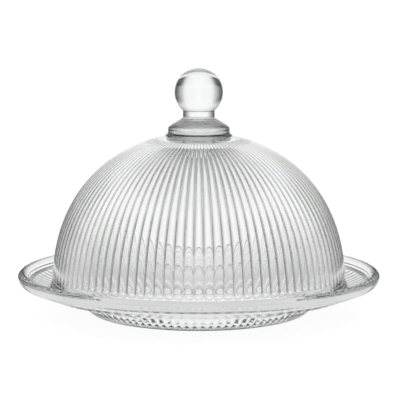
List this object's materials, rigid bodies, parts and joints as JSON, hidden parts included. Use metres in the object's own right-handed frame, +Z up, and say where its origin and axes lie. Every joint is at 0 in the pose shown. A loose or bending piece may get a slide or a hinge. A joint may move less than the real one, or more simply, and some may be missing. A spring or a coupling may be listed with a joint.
{
  "type": "cheese dome",
  "caption": "Clear pressed-glass cheese dome: a ribbed, near-hemispherical cover with a ball knob, standing on a round footed plate with a rolled rim.",
  "frame": {"origin": "centre of the plane that the plate's foot stands on", "axes": "+Z up along the common axis of plate, dome and knob"},
  "size_m": [0.24, 0.24, 0.1608],
  "materials": {
    "plate_glass": "clear pressed glass with fine mould texture",
    "dome_glass": "clear pressed glass, smooth outside, ribbed inside",
    "knob_glass": "clear solid glass, fire polished",
    "clear_adhesive": "clear cured adhesive"
  },
  "bodies": {
    "plate": {"plate": "plate_glass"},
    "dome": {"dome": "dome_glass", "knob_bond": "clear_adhesive", "knob": "knob_glass"}
  },
  "joints": [
    {"name": "dome_lift", "type": "slide", "parent": "plate", "child": "dome", "axis": [0, 0, 1], "range_m": [0, 0.18]}
  ]
}
